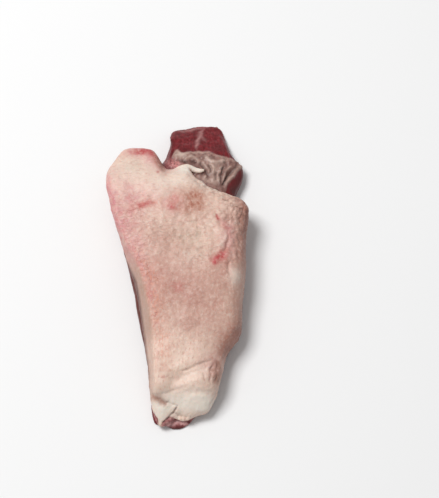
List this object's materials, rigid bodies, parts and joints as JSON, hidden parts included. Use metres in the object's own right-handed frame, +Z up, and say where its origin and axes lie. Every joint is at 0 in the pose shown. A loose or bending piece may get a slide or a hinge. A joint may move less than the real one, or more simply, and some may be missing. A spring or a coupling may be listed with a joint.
{
  "type": "skinless pork jowl",
  "caption": "Raw skinless pork jowl lying fat side up: a tapering slab of fat with folds at its narrow end, grown onto a layer of lean that comes out at the wide end.",
  "frame": {"origin": "on the surface that the piece lies on, under the middle of its box", "axes": "+Z up out of the fat face, +Y along the length from the narrow folded end towards the wide end where the lean comes out, +X to the right seen from the narrow end"},
  "size_m": [0.1272, 0.2898, 0.0428],
  "materials": {
    "fat": "moist satin, creamy fat with a pink stipple",
    "lean": "wet sheen, dark red muscle with pale membrane and marbling"
  },
  "bodies": {
    "root": {"fat_slab": "fat", "lean_layer": "lean"}
  },
  "joints": []
}
